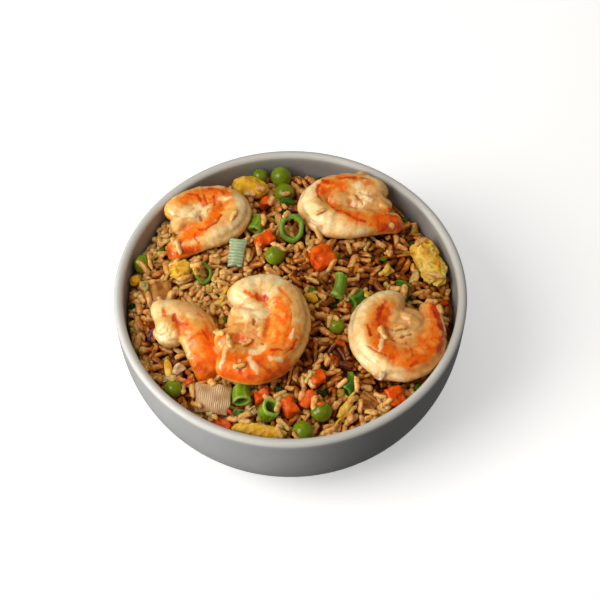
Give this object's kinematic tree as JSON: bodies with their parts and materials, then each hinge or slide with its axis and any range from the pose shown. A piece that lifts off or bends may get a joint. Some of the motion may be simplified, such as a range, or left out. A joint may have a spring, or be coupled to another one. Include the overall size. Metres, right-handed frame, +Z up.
{
  "type": "bowl of shrimp fried rice",
  "caption": "A round satin stoneware bowl filled with fried rice, topped with curled shrimps, peas, spring onion, onion, carrot dice and scrambled egg.",
  "frame": {"origin": "under the middle of the bowl's foot, on the surface it stands on", "axes": "+Z up; +X to the viewer's right; +Y to the back, away from the viewer"},
  "size_m": [0.15, 0.15, 0.0706],
  "materials": {
    "glazed_stoneware": "satin light grey stoneware glaze, slightly warmer and paler on the lip",
    "cooked_rice": "separate long grains, tan to soy brown, with a thin oily shine",
    "shrimp_flesh": "cooked shrimp, cream where cut open, orange bands with red edges on the shell side, moist",
    "pea_green": "cooked pea, smooth thin skin with a soft shine",
    "scallion_green": "cut spring onion leaf, darker outside, paler at the cut and inside",
    "carrot_orange": "diced cooked carrot, moist",
    "scrambled_egg": "scrambled egg, yellow with paler curds and browned spots",
    "soft_onion": "softened onion and leek layers, translucent, ribbed, tan to pale green"
  },
  "bodies": {
    "root": {"bowl": "glazed_stoneware", "rice": "cooked_rice", "shrimp_back_left": "shrimp_flesh", "shrimp_back_right": "shrimp_flesh", "shrimp_right": "shrimp_flesh", "shrimp_front": "shrimp_flesh", "shrimp_left": "shrimp_flesh", "pea_back_upper": "pea_green", "pea_back_lower": "pea_green", "pea_behind_egg": "pea_green", "pea_middle": "pea_green", "pea_wall_left": "pea_green", "pea_front_upper": "pea_green", "pea_front_lower": "pea_green", "pea_beside_right_shrimp": "pea_green", "pea_front_left": "pea_green", "scallion_ring_back": "scallion_green", "scallion_ring_left": "scallion_green", "scallion_ring_front": "scallion_green", "scallion_back_left": "scallion_green", "scallion_middle": "scallion_green", "scallion_middle_right": "scallion_green", "scallion_right": "scallion_green", "scallion_front_right": "scallion_green", "scallion_front_left": "scallion_green", "scallion_tucked": "scallion_green", "carrot_middle": "carrot_orange", "carrot_back": "carrot_orange", "carrot_behind_ring": "carrot_orange", "carrot_under_shrimp": "carrot_orange", "carrot_front": "carrot_orange", "carrot_front_sliver": "carrot_orange", "carrot_front_centre": "carrot_orange", "carrot_front_right": "carrot_orange", "carrot_wall_left": "carrot_orange", "egg_back_left": "scrambled_egg", "egg_right": "scrambled_egg", "egg_left": "scrambled_egg", "egg_front": "scrambled_egg", "egg_front_right": "scrambled_egg", "egg_middle": "scrambled_egg", "egg_strip_left": "scrambled_egg", "egg_wall_left": "scrambled_egg", "onion_front_left": "soft_onion", "onion_front_right": "soft_onion", "onion_wall_left": "soft_onion", "onion_sliver_front": "soft_onion", "leek_middle": "soft_onion"}
  },
  "joints": []
}
